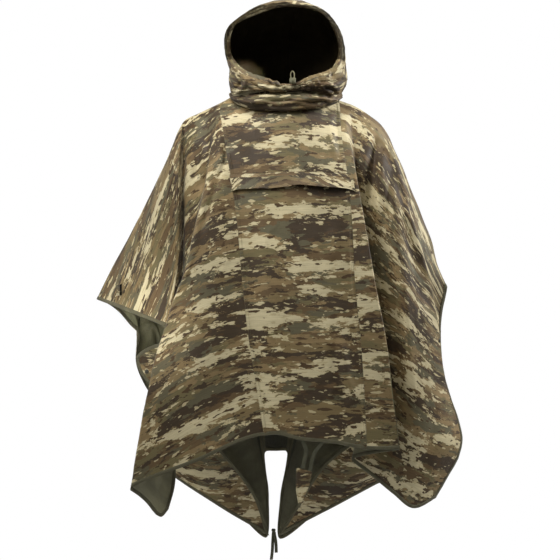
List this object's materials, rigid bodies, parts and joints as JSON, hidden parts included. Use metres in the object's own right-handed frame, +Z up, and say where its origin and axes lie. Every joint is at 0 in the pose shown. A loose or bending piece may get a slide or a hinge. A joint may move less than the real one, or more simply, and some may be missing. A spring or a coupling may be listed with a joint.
{
  "type": "hooded rain poncho",
  "caption": "Hooded camouflage rain poncho hanging as worn, hollow inside, with a chest pocket flap, bound edges and back corners tied together.",
  "frame": {"origin": "middle of the neck hole, level with the shoulders", "axes": "+Z up, -Y the way the wearer faces, +X to the wearer's left"},
  "size_m": [1.0156, 0.4341, 1.5924],
  "materials": {
    "camouflage_cloth": null,
    "olive_tape": "matte woven tape",
    "olive_cord": "matte braided cord",
    "toggle_plastic": "matte moulded"
  },
  "bodies": {
    "root": {"front_centre_panel": "camouflage_cloth", "front_right_side_panel": "camouflage_cloth", "front_left_side_panel": "camouflage_cloth", "back_centre_panel": "camouflage_cloth", "back_right_side_panel": "camouflage_cloth", "back_left_side_panel": "camouflage_cloth", "hood_right_panel": "camouflage_cloth", "hood_left_panel": "camouflage_cloth", "hood_rim_casing": "camouflage_cloth", "neck_collar": "camouflage_cloth", "pocket_flap": "camouflage_cloth", "cuff_tab": "camouflage_cloth", "cord_lock_tab": "camouflage_cloth", "hanging_tab": "camouflage_cloth", "front_edge_binding": "olive_tape", "back_edge_binding": "olive_tape", "hanging_tape_right": "olive_tape", "hanging_tape_left": "olive_tape", "back_tie_knot": "olive_tape", "back_tie_end_right": "olive_tape", "back_tie_end_left": "olive_tape", "drawcord_loop": "olive_cord", "cord_lock": "toggle_plastic", "right_cuff_front_snap": "toggle_plastic", "right_cuff_back_snap": "toggle_plastic", "left_cuff_front_snap": "toggle_plastic", "left_cuff_back_snap": "toggle_plastic"}
  },
  "joints": []
}
